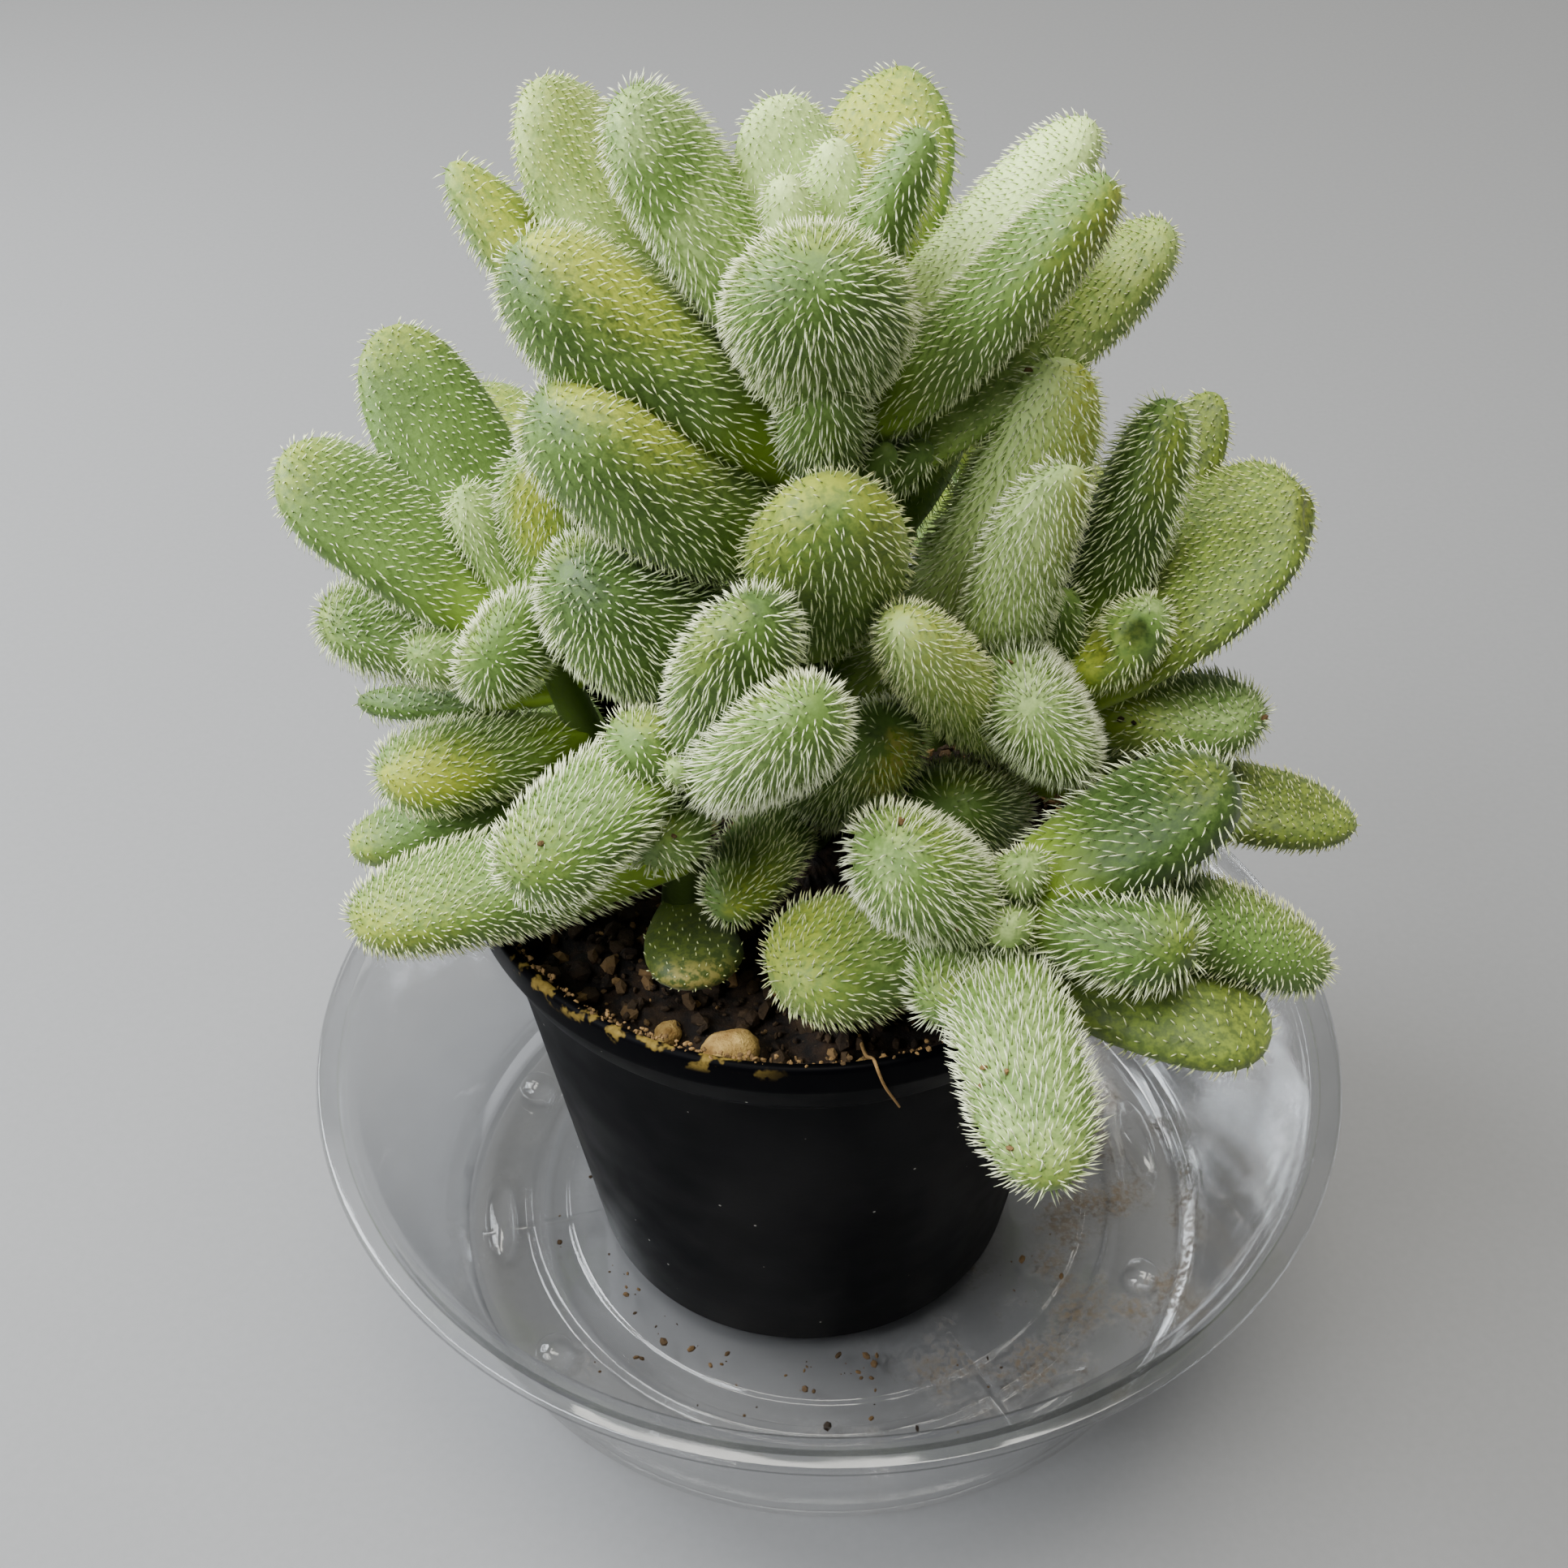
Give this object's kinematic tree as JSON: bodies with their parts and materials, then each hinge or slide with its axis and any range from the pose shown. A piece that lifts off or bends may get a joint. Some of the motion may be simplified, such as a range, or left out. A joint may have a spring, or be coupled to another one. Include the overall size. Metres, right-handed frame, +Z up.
{
  "type": "potted sedum",
  "caption": "Hairy-leaved sedum with plump sage-green leaves, growing in a small round black nursery pot that stands in a clear plastic saucer.",
  "frame": {"origin": "middle of the saucer's flat underside", "axes": "+Z up through the plant, -Y towards the front that the picture shows, +X to its right"},
  "size_m": [0.0986, 0.0986, 0.1147],
  "materials": {
    "clear_plastic": "thin clear moulded plastic, glossy, with a few water marks",
    "black_plastic": "satin black with dust and a dry crust on the rim",
    "peat": "dry dark peat with brown crumbs",
    "pebble": "matte tan stone",
    "leaf": "soft sage-green skin covered with short white hairs"
  },
  "bodies": {
    "root": {"saucer": "clear_plastic", "pot": "black_plastic", "soil": "peat", "pebble_1": "pebble", "pebble_2": "pebble", "pebble_3": "pebble", "sedum_crown": "leaf", "sedum_left": "leaf", "sedum_front": "leaf", "sedum_right": "leaf", "sedum_low": "leaf", "sedum_back_left": "leaf", "sedum_back_right": "leaf"}
  },
  "joints": []
}
